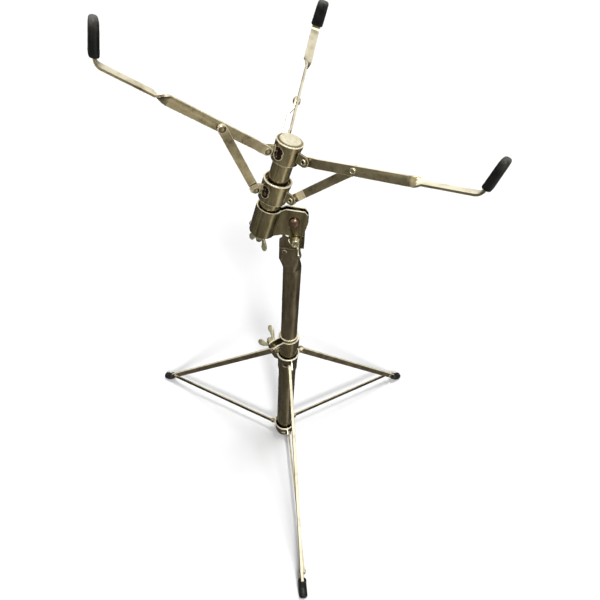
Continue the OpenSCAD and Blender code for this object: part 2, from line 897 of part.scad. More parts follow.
// rubber sleeve over an upturned tip
module tip(az) {
  turn = 90 - arm_el;
  color(rubber) at_arm(az) translate([arm_len, arm_main_t, 0]) rotate([0, arm_el, 0])
    difference() {
      union() {
        for (s = [-1, 1])
          translate([0, s * (tip_wide - tip_thick) / 2, 0]) rotate_extrude() polygon(concat(
            [[0, tip_low], [tip_thick / 2 - 0.8, tip_low], [tip_thick / 2, tip_low + 1.2]],
            arc([tip_thick / 2 - 3.2, tip_top - 3.2], 3.2, 0, 90, 5),
            [[0, tip_top]]
          ));
        upright(-(tip_wide - tip_thick) / 2, (tip_wide - tip_thick) / 2) polygon(concat(
          [[-tip_thick / 2 + 0.8, tip_low], [tip_thick / 2 - 0.8, tip_low],
           [tip_thick / 2, tip_low + 1.2]],
          arc([tip_thick / 2 - 3.2, tip_top - 3.2], 3.2, 0, 90, 5),
          arc([-tip_thick / 2 + 3.2, tip_top - 3.2], 3.2, 90, 180, 5),
          [[-tip_thick / 2, tip_low + 1.2]]
        ));
      }
      translate([-arm_t / 2, -arm_w / 2, 0]) cube([arm_t, arm_w, tip_len - 2]);
    }
}

module tip_left() {
  tip(arm_left_az);
}

module tip_right() {
  tip(arm_right_az);
}

module tip_rear() {
  tip(arm_rear_az);
}

// strut frame: origin on the lower pivot, X along the strut
module at_strut(az) {
  in_basket(az) translate([strut_pivot_r, 0, strut_pivot_s]) rotate([0, -strut_el, 0])
    children();
}

module strut(az) {
  low_end = 8;
  low_mid = 14;
  color(nickel) at_strut(az) difference() {
    intersection() {
      translate([0, 0, -strut_w / 2]) linear_extrude(strut_w) ribbon([
        [-strut_w / 2, root_t], [low_end, root_t], [low_mid, strut_mid_t],
        [strut_len - low_mid, strut_mid_t], [strut_len - low_end, strut_top_t],
        [strut_len + strut_w / 2, strut_top_t]
      ], arm_t);
      upright(-2, 12) union() {
        circle(r = strut_w / 2);
        translate([0, -strut_w / 2]) square([strut_len, strut_w]);
        translate([strut_len, 0]) circle(r = strut_w / 2);
      }
    }
    pin(pin_r + running, -5, 15);
    translate([strut_len, 0, 0]) pin(pin_r, -5, 15);
  }
}

module strut_left() {
  strut(arm_left_az);
}

module strut_right() {
  strut(arm_right_az);
}

module strut_rear() {
  strut(arm_rear_az);
}

module strut_pin(az) {
  low = strut_top_t - arm_t / 2;
  high = strut_top_t + arm_t / 2;
  color(nickel) at_strut(az) translate([strut_len, 0, 0]) {
    pin(pin_r, low, high);
    translate([0, high, 0]) rotate([-90, 0, 0]) dome(rivet_head_r, 1.6);
  }
}

module strut_pin_left() {
  strut_pin(arm_left_az);
}

module strut_pin_right() {
  strut_pin(arm_right_az);
}

module strut_pin_rear() {
  strut_pin(arm_rear_az);
}

// ---------- choose what to draw ----------

lower_tube();
bottom_collar();
brace_rivets();
height_clamp();
clamp_bolt();
clamp_wing_nut();
leg_collar();
collar_rivets();
leg_front();
leg_right();
leg_left();
boot_front();
boot_right();
boot_left();
leg_rivet_front();
leg_rivet_right();
leg_rivet_left();
brace_front();
brace_right();
brace_left();
foot_rivet_front();
foot_rivet_right();
foot_rivet_left();
upper_tube();
tilter_tongue();
tongue_rivet();
pivot_bolt();
tilter_sleeve();
tilt_strap();
tilt_bolt();
sleeve_screw();
tilt_wing_nut();
basket_stud();
swivel_wing_nut();
basket_tube();
basket_plug();
hub_stop_ring();
upper_hub();
arm_rivets();
lower_hub();
strut_rivets();
arm_left();
arm_right();
arm_rear();
tip_left();
tip_right();
tip_rear();
strut_left();
strut_right();
strut_rear();
strut_pin_left();
strut_pin_right();
strut_pin_rear();
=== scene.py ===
import json
import math

import bmesh
import bpy
from mathutils import Matrix, Vector


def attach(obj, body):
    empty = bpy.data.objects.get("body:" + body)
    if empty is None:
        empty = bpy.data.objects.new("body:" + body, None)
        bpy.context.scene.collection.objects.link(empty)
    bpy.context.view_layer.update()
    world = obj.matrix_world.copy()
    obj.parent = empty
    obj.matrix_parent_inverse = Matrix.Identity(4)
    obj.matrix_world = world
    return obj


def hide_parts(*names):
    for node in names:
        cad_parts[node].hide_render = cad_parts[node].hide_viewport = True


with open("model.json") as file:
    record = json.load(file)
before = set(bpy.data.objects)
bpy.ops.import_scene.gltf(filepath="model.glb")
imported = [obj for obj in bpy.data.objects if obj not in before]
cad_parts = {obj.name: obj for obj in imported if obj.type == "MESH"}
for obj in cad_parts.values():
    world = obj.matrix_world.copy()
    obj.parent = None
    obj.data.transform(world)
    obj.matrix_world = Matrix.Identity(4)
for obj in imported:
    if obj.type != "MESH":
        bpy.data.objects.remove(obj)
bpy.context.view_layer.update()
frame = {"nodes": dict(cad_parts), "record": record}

RECORD = frame["record"]
SLOT = {s["node"]: s["material_slot"] for s in RECORD["subparts"]}
BODY = {n: b for b, ns in RECORD["behaviour"]["bodies"].items() for n in ns}
MM = 0.001

# ---------------------------------------------------------------- the design's own numbers
# They are in millimetres and degrees, as in the CAD source.
# R is a distance from an axis, Z a height above the floor, S a height along the tilter's axis.

# foot of the post's axis
POST = Vector((11.1, 33.6, 0.0))
# legs: azimuths, the pivot on the collar, the brace's rivet near the foot, the boot's centre line
LEG_AZ = {"front": -79.0, "right": 32.0, "left": 160.0}
LEG_R, LEG_Z = 22.7, 213.5
FOOT_R, FOOT_Z = 223.0, 23.4
BOOT_Z = 6.5
LEG_SLOPE = math.atan2(LEG_Z - FOOT_Z, FOOT_R - LEG_R)
# where the sloping leg meets the boot's centre line, within 0.02 mm
KNEE_R = 240.79
# tilter: the pivot's height, its distance from the tilter's axis, and that axis's lean
PIVOT_Z, PIVOT_E, LEAN = 455.4, 31.0, 14.4
# the ledge down in the tilter sleeve's mouth is no higher than this S
SLEEVE_LEDGE = 6.0
# arms: azimuths, the pivot on the upper hub, elevation, length to the upturned end, that end's height
ARM_AZ = {"left": 206.0, "right": 326.0, "rear": 89.5}
ARM_R, ARM_S, ARM_EL, ARM_LEN, TIP_LEN = 21.7, 77.9, 22.5, 166.6, 31.5
# middle of the arm's upturned end, to one side of the pivots' plane
ARM_SIDE = 0.9
# struts: the pivot's distance along the arm, and the pivot on the lower hub
STRUT_ON_ARM, STRUT_R, STRUT_S = 53.65, 22.4, 32.3
# clamp bolt: azimuth, distance from the post's axis, height, and the nut's seat from its middle
CLAMP_AZ, CLAMP_R, CLAMP_Z, CLAMP_SEAT = 220.0, 22.5, 249.9, 6.85
# tilt bolt: its place from the pivot, across and along the post, and the nut's seat
TILT_BOLT_X, TILT_BOLT_Z, TILT_SEAT = 2.5, -22.9, 6.55
# S of the seat of the nut under the basket
SWIVEL_SEAT = -30.0
# fronts of the rivets' rolled ends, from the middle of the hinge: in the hubs' ears, and in the arms
EAR_FRONT, ARM_FRONT = 2.15, 1.1

# ---------------------------------------------------------------- camera
# place in metres; yaw from +Y, pitch above the horizon and roll in degrees; lens in millimetres
CAMERA_AT = (0.0277, -0.3761, 0.7568)
CAMERA_YAW, CAMERA_PITCH, CAMERA_ROLL = -4.52, -42.53, 1.36
CAMERA_LENS, CAMERA_SHIFT = 27.67, (0.035, -0.05)


def placed(name, data):
    """New object in the scene that holds a mesh, a light or a camera."""
    ob = bpy.data.objects.new(name, data)
    bpy.context.collection.objects.link(ob)
    return ob


def make_camera():
    yaw, pitch, roll = (math.radians(a) for a in (CAMERA_YAW, CAMERA_PITCH, CAMERA_ROLL))
    level = math.cos(pitch)
    forward = Vector((math.sin(yaw) * level, math.cos(yaw) * level, math.sin(pitch)))
    level_right = Vector((math.cos(yaw), -math.sin(yaw), 0.0))
    level_up = level_right.cross(forward)
    right = math.cos(roll) * level_right + math.sin(roll) * level_up
    up = -math.sin(roll) * level_right + math.cos(roll) * level_up
    cam = bpy.data.cameras.new("camera")
    cam.lens = CAMERA_LENS
    cam.shift_x, cam.shift_y = CAMERA_SHIFT
    cam.clip_start = 0.01
    ob = placed("camera", cam)
    turn = Matrix((right, up, -forward)).transposed().to_4x4()
    ob.matrix_world = Matrix.Translation(CAMERA_AT) @ turn
    bpy.context.scene.camera = ob


make_camera()


# ---------------------------------------------------------------- node helpers
class Graph:
    """Short calls for building a material or world node tree."""

    def __init__(self, tree):
        self.tree = tree

    def node(self, kind, **settings):
        n = self.tree.nodes.new(kind)
        for key, value in settings.items():
            setattr(n, key, value)
        return n

    def link(self, a, b):
        self.tree.links.new(a, b)

    def feed(self, socket, value):
        """Links an output to the socket, or sets a number or an RGB colour on it."""
        if isinstance(value, bpy.types.NodeSocket):
            self.link(value, socket)
        else:
            socket.default_value = (*value, 1.0) if isinstance(value, tuple) else value

    def noise(self, vector, scale, detail, rough=0.55):
        n = self.node("ShaderNodeTexNoise")
        n.inputs["Scale"].default_value = scale
        n.inputs["Detail"].default_value = detail
        n.inputs["Roughness"].default_value = rough
        self.link(vector, n.inputs["Vector"])
        return n.outputs["Fac"]

    def ramp(self, fac, stops):
        """Colour ramp; a stop's colour is an RGB tuple or one number for a grey."""
        n = self.node("ShaderNodeValToRGB")
        elements = n.color_ramp.elements
        while len(elements) < len(stops):
            elements.new(0.5)
        for element, (position, colour) in zip(elements, stops):
            rgb = colour if isinstance(colour, tuple) else (colour, colour, colour)
            element.position = position
            element.color = (*rgb, 1.0)
        self.link(fac, n.inputs["Fac"])
        return n.outputs["Color"]

    def math(self, operation, *values):
        n = self.node("ShaderNodeMath", operation=operation)
        for socket, value in zip(n.inputs, values):
            self.feed(socket, value)
        return n.outputs[0]

    def mix(self, fac, a, b, blend="MIX"):
        n = self.node("ShaderNodeMix", data_type="RGBA", blend_type=blend)
        for index, value in ((0, fac), (6, a), (7, b)):
            self.feed(n.inputs[index], value)
        return n.outputs[2]

    def span(self, fac, low, high, to_low, to_high):
        """Maps low..high to to_low..to_high, clamped."""
        n = self.node("ShaderNodeMapRange")
        for index, value in enumerate((fac, low, high, to_low, to_high)):
            self.feed(n.inputs[index], value)
        return n.outputs[0]

    def stretch(self, vector, scale):
        n = self.node("ShaderNodeMapping")
        n.inputs["Scale"].default_value = scale
        self.link(vector, n.inputs["Vector"])
        return n.outputs[0]

    def bump(self, height, strength, distance, bsdf):
        n = self.node("ShaderNodeBump")
        n.inputs["Strength"].default_value = strength
        n.inputs["Distance"].default_value = distance
        self.link(height, n.inputs["Height"])
        self.link(n.outputs[0], bsdf.inputs["Normal"])


def material(name):
    m = bpy.data.materials.new(name)
    m.use_nodes = True
    g = Graph(m.node_tree)
    bsdf = m.node_tree.nodes["Principled BSDF"]
    coords = g.node("ShaderNodeTexCoord").outputs["Object"]
    return m, g, bsdf, coords


def edge_mask(g, radius):
    """1 along the edges of the piece, 0 on its faces: how far a rounded normal leans from the true one.
    The cosine of that lean is 1 on a flat face."""
    round_off = g.node("ShaderNodeBevel", samples=6)
    round_off.inputs["Radius"].default_value = radius
    dot = g.node("ShaderNodeVectorMath", operation="DOT_PRODUCT")
    g.link(round_off.outputs[0], dot.inputs[0])
    g.link(g.node("ShaderNodeNewGeometry").outputs["Normal"], dot.inputs[1])
    return g.span(dot.outputs["Value"], 0.985, 0.90, 0.0, 1.0)


# ---------------------------------------------------------------- finishes
# noise scales, in features per metre: stained patches, fine specks, and streaks before their stretch
PATCHES, SPECKS, STREAKS = 70.0, 620.0, 9.0
# stretch of the streaks: drawn out upwards, as on a tube, or as wide as long
LENGTHWISE, ALL_WAYS = (300.0, 300.0, 10.0), (60.0, 60.0, 60.0)
# stretch of the patches where the streaks are drawn out
LONG_PATCHES = (1.6, 1.6, 0.35)
# depth of the pits and grain, in metres
PIT_DEPTH = 0.0002
# painted highlight along the edges, in pale plate: its clean and its stained colour
EDGE_HIGHLIGHT, STAINED_EDGE_HIGHLIGHT = (0.86, 0.79, 0.58), (0.46, 0.39, 0.24)


def plated(name, stain, mid, clean, rough=(0.2, 0.45), pits=0.12, streak=ALL_WAYS, edge=0.0, metal=1.0):
    """Old plated steel: stained patches over a paler plate, fine pits and rubbed streaks.
    edge is how far, in metres, a painted highlight runs along the edges: pale plate, less metallic."""
    m, g, bsdf, co = material(name)
    drawn = g.stretch(co, LONG_PATCHES) if streak == LENGTHWISE else co
    patches = g.noise(drawn, PATCHES, 6.0, 0.62)
    specks = g.noise(co, SPECKS, 3.0, 0.6)
    rub = g.noise(g.stretch(co, streak), STREAKS, 5.0, 0.6)
    base = g.ramp(patches, [(0.30, stain), (0.50, mid), (0.72, clean)])
    base = g.mix(g.span(rub, 0.35, 0.75, 0.0, 0.45), base, clean)
    base = g.mix(g.span(specks, 0.60, 0.78, 0.0, 0.55), base, stain)
    bsdf.inputs["Metallic"].default_value = metal
    if edge:
        # painted highlight along the edges: a paler colour, and less metallic so that it stays bright from
        # every side
        pale = g.ramp(patches, [(0.30, STAINED_EDGE_HIGHLIGHT), (0.45, EDGE_HIGHLIGHT)])
        mask = edge_mask(g, edge)
        base = g.mix(mask, base, pale)
        g.link(g.span(mask, 0.0, 1.0, metal, 0.35), bsdf.inputs["Metallic"])
    g.link(base, bsdf.inputs["Base Color"])
    wobble = g.math("ADD", g.math("MULTIPLY", patches, 0.6), g.math("MULTIPLY", rub, 0.4))
    g.link(g.span(wobble, 0.3, 0.7, *rough), bsdf.inputs["Roughness"])
    g.bump(g.math("ADD", specks, g.math("MULTIPLY", rub, 0.5)), pits, PIT_DEPTH, bsdf)
    return m


# hubs, bolts and other small nickel pieces
NICKEL = plated("nickel", (0.09, 0.07, 0.034), (0.225, 0.188, 0.108), (0.38, 0.33, 0.205),
                rough=(0.15, 0.36), streak=LENGTHWISE, edge=0.0009)
# the tilter's wrapped sheet
OLIVE = plated("olive_nickel", (0.065, 0.05, 0.024), (0.155, 0.130, 0.072), (0.27, 0.235, 0.145),
               rough=(0.12, 0.32), streak=LENGTHWISE)
# the lower tube and what is pressed round it
TUBE = plated("lower_tube_nickel", (0.055, 0.042, 0.02), (0.115, 0.093, 0.050), (0.20, 0.168, 0.10),
              rough=(0.16, 0.38), streak=LENGTHWISE)
# flats of the arms and struts, and the legs' and braces' darker ones; the braces' near-black plate is
# painted shade
STRIP = plated("strip_nickel", (0.10, 0.08, 0.042), (0.28, 0.24, 0.148), (0.42, 0.37, 0.25),
               rough=(0.24, 0.42), edge=0.0006)
LEG_SIDE = plated("leg_side", (0.05, 0.038, 0.018), (0.14, 0.115, 0.065), (0.27, 0.23, 0.145),
                  rough=(0.26, 0.46))
SHADED_STRIP = plated("painted_shade_strip", (0.012, 0.010, 0.007), (0.030, 0.025, 0.017), (0.07, 0.06, 0.042),
                    rough=(0.3, 0.5))
# painted highlights: rims, lips and broken edges made pale, and the matt upper sides of strips in several
# brightnesses
RIM_HIGHLIGHT = plated("painted_rim_highlight", (0.52, 0.45, 0.29), (0.88, 0.81, 0.61), (0.94, 0.89, 0.72),
              rough=(0.3, 0.5), pits=0.05, metal=0.35)
TOP_HIGHLIGHT = plated("painted_top_highlight", (0.42, 0.36, 0.23), (0.74, 0.68, 0.50), (0.84, 0.79, 0.61),
                  rough=(0.5, 0.7), pits=0.05, metal=0.25)
DIM_TOP_HIGHLIGHT = plated("painted_dim_top_highlight", (0.27, 0.23, 0.15), (0.47, 0.43, 0.315), (0.58, 0.54, 0.41),
                  rough=(0.5, 0.7), pits=0.05, metal=0.3)
BRIGHT_TOP_HIGHLIGHT = plated("painted_bright_top_highlight", (0.50, 0.43, 0.28), (0.88, 0.82, 0.62), (0.95, 0.90, 0.71),
                  rough=(0.5, 0.7), pits=0.05, metal=0.1)
BRACE_TOP_HIGHLIGHT = plated("painted_brace_top_highlight", (0.16, 0.13, 0.08), (0.33, 0.285, 0.185), (0.50, 0.45, 0.32),
                    rough=(0.4, 0.6), metal=0.6)
# wing nuts and rolled rivet ends
BRIGHT = plated("bright_nickel", (0.20, 0.18, 0.11), (0.44, 0.42, 0.285), (0.64, 0.61, 0.46),
                rough=(0.18, 0.38), pits=0.2)
# the upper tube with its tongue, and the pivot bolt's rusty head
BROWN = plated("brown_steel", (0.035, 0.026, 0.015), (0.105, 0.085, 0.055), (0.19, 0.16, 0.108),
               rough=(0.26, 0.48), streak=LENGTHWISE, edge=0.0005)
# painted highlight on the upper tube's broken edges
BROWN_EDGE_HIGHLIGHT = plated("painted_brown_edge_highlight", (0.10, 0.08, 0.05), (0.26, 0.22, 0.155), (0.42, 0.37, 0.27),
                    rough=(0.3, 0.5))
RIVET = plated("brown_rivet", (0.045, 0.022, 0.014), (0.13, 0.080, 0.054), (0.27, 0.19, 0.145),
               rough=(0.22, 0.42), pits=0.25)
# what is seen through the hubs' and the collar's windows, rust-brown and darkened as painted shade, and in
# the hollow rivets, painted shade
RUST_AND_SHADE = plated("window_rust_and_shade", (0.012, 0.006, 0.004), (0.045, 0.022, 0.014), (0.10, 0.055, 0.036),
              rough=(0.4, 0.6), pits=0.3)
HOLE_SHADE = plated("painted_hole_shade", (0.004, 0.003, 0.002), (0.010, 0.008, 0.006), (0.02, 0.016, 0.012),
              rough=(0.5, 0.7))


def cream_paint():
    """Stained cream enamel, paler round the rim."""
    m, g, bsdf, co = material("cream_plug")
    stain = g.noise(co, 260.0, 5.0, 0.6)
    dirty, cream, clean = (0.60, 0.54, 0.37), (0.72, 0.675, 0.50), (0.80, 0.76, 0.60)
    base = g.ramp(stain, [(0.30, dirty), (0.55, cream), (0.8, clean)])
    g.link(g.mix(edge_mask(g, 0.0009), base, (0.90, 0.87, 0.74)), bsdf.inputs["Base Color"])
    bsdf.inputs["Roughness"].default_value = 0.5
    g.bump(stain, 0.15, 0.0003, bsdf)
    return m


def rubber():
    """Black rubber with a soft sheen; a point attribute greys the ends, partly for rubbing and, on the
    arms' tips, partly as a painted highlight.
    """
    m, g, bsdf, co = material("rubber")
    mottle = g.noise(co, 150.0, 5.0, 0.6)
    grain = g.noise(co, 1500.0, 2.0, 0.5)
    wear_and_sheen = g.node("ShaderNodeAttribute", attribute_name="wear_and_sheen").outputs["Fac"]
    amount = g.math("MULTIPLY", wear_and_sheen, g.span(mottle, 0.35, 0.65, 0.15, 0.75))
    base = g.ramp(mottle, [(0.3, (0.003, 0.003, 0.003)), (0.7, (0.011, 0.011, 0.010))])
    g.link(g.mix(amount, base, (0.17, 0.165, 0.15)), bsdf.inputs["Base Color"])
    bsdf.inputs["Specular IOR Level"].default_value = 0.2
    g.link(g.span(mottle, 0.3, 0.7, 0.26, 0.44), bsdf.inputs["Roughness"])
    g.bump(g.math("ADD", grain, mottle), 0.25, PIT_DEPTH, bsdf)
    return m


CREAM = cream_paint()
RUBBER = rubber()


# ---------------------------------------------------------------- frames of the moving parts, at rest
POST_FRAME = Matrix.Translation(POST * MM)


def about_z(degrees):
    return Matrix.Rotation(math.radians(degrees), 4, "Z")


def leg_point(az, r, t, z):
    """Point by radius, tangent offset and height about the post, in metres."""
    return POST_FRAME @ about_z(az) @ (Vector((r, t, z)) * MM)


def tilter_matrix():
    """Frame of the tilter and the basket: Z along the basket's axis, the tilt pivot at X = PIVOT_E."""
    at = POST_FRAME @ Matrix.Translation((0, 0, PIVOT_Z * MM))
    return at @ Matrix.Rotation(math.radians(LEAN), 4, "Y") @ Matrix.Translation((-PIVOT_E * MM, 0, 0))


def hinge_matrix(az, r, s):
    """Frame of a hub's hinge: X outwards, Y along the pin, Z along the basket's axis."""
    return tilter_matrix() @ about_z(az) @ Matrix.Translation((r * MM, 0, s * MM))


def arm_matrix(az):
    """Frame of an arm: origin on its pivot, X along the arm."""
    return hinge_matrix(az, ARM_R, ARM_S) @ Matrix.Rotation(math.radians(-ARM_EL), 4, "Y")


# ---------------------------------------------------------------- mesh helpers
# points closer than this become one where a mesh is welded, in metres
WELD = 2e-6


def mesh_of(name, bm):
    me = bpy.data.meshes.new(name)
    bm.to_mesh(me)
    bm.free()
    return me


def closed_form(name, bm):
    """Object of a bmesh, smooth and with its normals outwards."""
    bmesh.ops.recalc_face_normals(bm, faces=bm.faces)
    for f in bm.faces:
        f.smooth = True
    return placed(name, mesh_of(name, bm))


def skin(bm, rows):
    """Faces between each row of vertices and the next; every row is a closed ring."""
    n = len(rows[0])
    for a, b in zip(rows, rows[1:]):
        for i in range(n):
            bm.faces.new((a[i], a[(i + 1) % n], b[(i + 1) % n], b[i]))


def loft(bm, rings):
    """Closed skin through rings of points, of equal length, in metres."""
    rows = [[bm.verts.new(p) for p in ring] for ring in rings]
    skin(bm, rows)
    bm.faces.new(rows[0])
    bm.faces.new(rows[-1])


def turned(bm, place, profile, sides):
    """Turns a closed profile of radii and heights, in millimetres, about the Z axis of place."""
    rows = []
    for k in range(sides):
        spoke = place @ Matrix.Rotation(2 * math.pi * k / sides, 4, "Z")
        rows.append([bm.verts.new(spoke @ (Vector((r, 0, z)) * MM)) for r, z in profile])
    skin(bm, rows + rows[:1])


def rounded(half_w, half_h, r, n=5):
    """Rounded rectangle, counter-clockwise, 4 * (n + 1) points."""
    r = min(r, half_w, half_h)
    pts = []
    for k, (sx, sy) in enumerate(((1, 1), (-1, 1), (-1, -1), (1, -1))):
        for i in range(n + 1):
            a = math.radians(90 * k + 90 * i / n)
            pts.append((sx * (half_w - r) + r * math.cos(a), sy * (half_h - r) + r * math.sin(a)))
    return pts


def subdivide(ob):
    sub = ob.modifiers.new("soft", "SUBSURF")
    sub.levels, sub.render_levels = 1, 2


def set_wear_and_sheen(ob, rule):
    """Writes the attribute that greys the rubber, 0 black to 1 greyed, from each point's place: partly
    rubbing, partly a painted highlight.
    """
    att = ob.data.attributes.new("wear_and_sheen", "FLOAT", "POINT")
    for v, d in zip(ob.data.vertices, att.data):
        d.value = max(0.0, min(1.0, rule(v.co)))


# CAD nodes that a piece stands for
REBUILT = set()


def add_on(ob, node, finishes):
    """Finishes a piece and puts it on a CAD node's body."""
    for m in finishes:
        ob.data.materials.append(m)
    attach(ob, BODY[node])


def stand_in(ob, node, finishes):
    """Finishes a piece and puts it in the place of a CAD node."""
    add_on(ob, node, finishes)
    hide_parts(node)
    REBUILT.add(node)


# ---------------------------------------------------------------- rubber pieces
def tip_piece(key):
    """Moulded rubber sleeve on an arm's upturned end: wider below, round on top, cut off square."""
    half_w, half_t, corner = 6.8, 3.9, 3.2
    mouth, top = 5.5, TIP_LEN + 0.8
    # the tip greys from here towards its top: partly rubbing, partly a painted highlight
    grey_from, grey_length = top - 7.5, 9.0
    # heights along the sleeve, and how full its section is there; it thins faster than it narrows
    outline = [(mouth, 0.86), (mouth + 0.35, 0.93), (mouth + 1.3, 1.0), (mouth + 2.2, 1.0),
               (mouth + 9.0, 0.975), (top - 7.0, 0.95), (top - 3.6, 0.93), (top - 2.0, 0.88),
               (top - 0.9, 0.78), (top - 0.25, 0.58), (top, 0.30)]
    base = arm_matrix(ARM_AZ[key]) @ Matrix.Translation((ARM_LEN * MM, ARM_SIDE * MM, 0))
    base = base @ Matrix.Rotation(math.radians(ARM_EL), 4, "Y")
    rings = []
    for z, fullness in outline:
        thinner = max(1.0 - (1.0 - fullness) * 1.25, 0.25)
        section = rounded(half_w * fullness, half_t * thinner, corner)
        rings.append([base @ (Vector((y, x, z)) * MM) for x, y in section])
    bm = bmesh.new()
    loft(bm, rings)
    ob = closed_form(f"tip_{key}_look", bm)
    subdivide(ob)
    to_sleeve = base.inverted()
    set_wear_and_sheen(ob, lambda p: ((to_sleeve @ p).z / MM - grey_from) / grey_length)
    stand_in(ob, "tip_" + key, [RUBBER])


def boot_piece(key):
    """Rubber boot: a short sleeve on the sloping leg, a knee and a round-nosed foot, flat below."""
    az = LEG_AZ[key]
    half_w, half_h, corner, sleeve, grey_length = 5.7, 6.0, 5.0, 13.2, 6.8
    up_leg = Vector((-math.cos(LEG_SLOPE), math.sin(LEG_SLOPE)))
    knee = Vector((KNEE_R, BOOT_Z + 0.4))
    # centre line in the leg's plane, from the sleeve's mouth round the knee to the nose:
    # a point, the direction there, and how full the section is
    line = []
    for d, k in ((sleeve, 0.90), (sleeve - 0.5, 0.985), (sleeve - 1.4, 1.0), (9.0, 0.97), (6.0, 0.97)):
        line.append((knee + up_leg * d, -up_leg, k))
    line.append((knee + up_leg * 2.6 + Vector((0.0, 0.1)), Vector((0.35, 0.0)) - up_leg, 1.04))
    line.append((knee + Vector((0.6, 0.35)), Vector((1.4, 0.0)) - up_leg, 1.12))
    for x, k in ((3.6, 1.14), (6.2, 1.1), (8.0, 0.98), (9.1, 0.80), (9.7, 0.52), (9.9, 0.25)):
        line.append((Vector((KNEE_R + x, BOOT_Z + 0.1)), Vector((1.0, 0.0)), k))
    rings = []
    for centre, direction, k in line:
        ahead = direction.normalized()
        normal = Vector((-ahead.y, ahead.x))
        ring = []
        for t, h in rounded(half_w * min(k, 1.0), half_h * k, corner):
            p = centre + normal * h
            ring.append(leg_point(az, p.x, t, max(p.y, 0.0)))
        rings.append(ring)
    bm = bmesh.new()
    loft(bm, rings)
    ob = closed_form(f"boot_{key}_look", bm)
    subdivide(ob)
    end = knee + up_leg * sleeve
    mouth = leg_point(az, end.x, 0, end.y)
    set_wear_and_sheen(ob, lambda p: 1.0 - (p - mouth).length / (grey_length * MM))
    stand_in(ob, "boot_" + key, [RUBBER])


# ---------------------------------------------------------------- pressed legs
def leg_piece(key):
    """Pressed leg: a closed section with a long shallow panel down each side and a round upper end."""
    az = LEG_AZ[key]
    along = Vector((math.cos(LEG_SLOPE), -math.sin(LEG_SLOPE)))
    across = Vector((math.sin(LEG_SLOPE), math.cos(LEG_SLOPE)))
    length = (KNEE_R - LEG_R) / math.cos(LEG_SLOPE) + 1.0
    half_t, half_w = 2.0, 4.4
    panel_depth, panel_start, panel_half = 0.42, 11.0, 2.65
    panel = half_t - panel_depth
    # right half of the section, from the top down: offset to the side, offset across the leg
    half = [(1.45, half_w), (1.85, half_w - 0.15), (half_t, half_w - 0.6), (half_t, panel_half),
            (panel, panel_half - 0.5), (panel, 0.0), (panel, 0.5 - panel_half), (half_t, -panel_half),
            (half_t, -half_w + 0.6), (1.85, -half_w + 0.15), (1.45, -half_w)]
    section = half + [(-t, w) for t, w in half[::-1]]
    # distances from the pivot: round the upper end, into the panel, then evenly to the boot
    stations = [-4.36, -4.2, -3.8, -3.2, -2.4, -1.4, 0.0, 4.0, 9.0, 13.0, 16.0]
    stations += [length * k / 6.0 for k in range(1, 7)]
    rings = []
    for s in stations:
        width = math.sqrt(1.0 - (s / half_w) ** 2) if s < 0 else 1.0
        ring = []
        for t, w in section:
            if s < panel_start and abs(w) <= panel_half:
                t = math.copysign(half_t, t)
            p = Vector((LEG_R, LEG_Z)) + along * s + across * w * width
            ring.append(leg_point(az, p.x, t, p.y))
        rings.append(ring)
    bm = bmesh.new()
    loft(bm, rings)
    ob = closed_form(f"leg_{key}_look", bm)
    # upward faces take the painted top highlight, the rest the legs' darker side plate
    for f in ob.data.polygons:
        f.material_index = 0 if f.normal.z > 0.5 else 1
    ob.data.set_sharp_from_angle(angle=math.radians(35))
    bev = ob.modifiers.new("broken_edges", "BEVEL")
    bev.width, bev.segments, bev.angle_limit = 0.15 * MM, 2, math.radians(30)
    stand_in(ob, "leg_" + key, [TOP_HIGHLIGHT, LEG_SIDE])


# ---------------------------------------------------------------- wing nuts
def wing_nut_piece(node, seat, direction, out, tall, bore):
    """Cast wing nut on a bore of that radius. seat has its Z on the bolt's axis and its origin under the
    nut; direction turns the wings, which reach out sideways and tall along the axis."""
    place = seat @ about_z(direction)
    boss = [(bore, 0.2), (bore + 0.3, 0.0), (5.5, 0.0), (5.9, 0.5), (5.7, 2.2), (5.2, 5.4), (4.9, 7.0),
            (4.4, 7.6), (bore + 0.5, 7.6), (bore, 7.2)]
    # spine of a wing: distance out, height, half width, half thickness
    spine = [(3.2, 2.9, 1.9, 1.7), (5.2, 3.6, 2.1, 1.6), (out * 0.52, tall * 0.30, 2.3, 1.45),
             (out * 0.68, tall * 0.45, 2.9, 1.35), (out * 0.79, tall * 0.60, 3.7, 1.3),
             (out * 0.85, tall * 0.73, 4.1, 1.25), (out * 0.88, tall * 0.84, 3.8, 1.15),
             (out * 0.89, tall * 0.93, 2.7, 0.95), (out * 0.89, tall * 0.985, 1.2, 0.6)]
    bm = bmesh.new()
    turned(bm, place, boss, 40)
    for side in (1, -1):
        rings = []
        for i, (x, z, half_w, half_t) in enumerate(spine):
            before, after = spine[max(i - 1, 0)], spine[min(i + 1, len(spine) - 1)]
            along = Vector((after[0] - before[0], after[1] - before[1])).normalized()
            ring = []
            for u, v in rounded(half_w, half_t, 1.1, 3):
                p = Vector((side * (x + along.y * u), v, z - along.x * u))
                ring.append(place @ (p * MM))
            rings.append(ring)
        loft(bm, rings)
    ob = closed_form(node + "_look", bm)
    subdivide(ob)
    stand_in(ob, node, [BRIGHT])


def clamp_nut_seat():
    m = POST_FRAME @ about_z(CLAMP_AZ)
    m = m @ Matrix.Translation((CLAMP_R * MM, -CLAMP_SEAT * MM, CLAMP_Z * MM))
    return m @ Matrix.Rotation(math.radians(90), 4, "X")


def tilt_nut_seat():
    lean = math.radians(LEAN)
    x = PIVOT_E + TILT_BOLT_X * math.cos(lean) - TILT_BOLT_Z * math.sin(lean)
    s = TILT_BOLT_X * math.sin(lean) + TILT_BOLT_Z * math.cos(lean)
    m = tilter_matrix() @ Matrix.Translation((x * MM, -TILT_SEAT * MM, s * MM))
    return m @ Matrix.Rotation(math.radians(90), 4, "X")


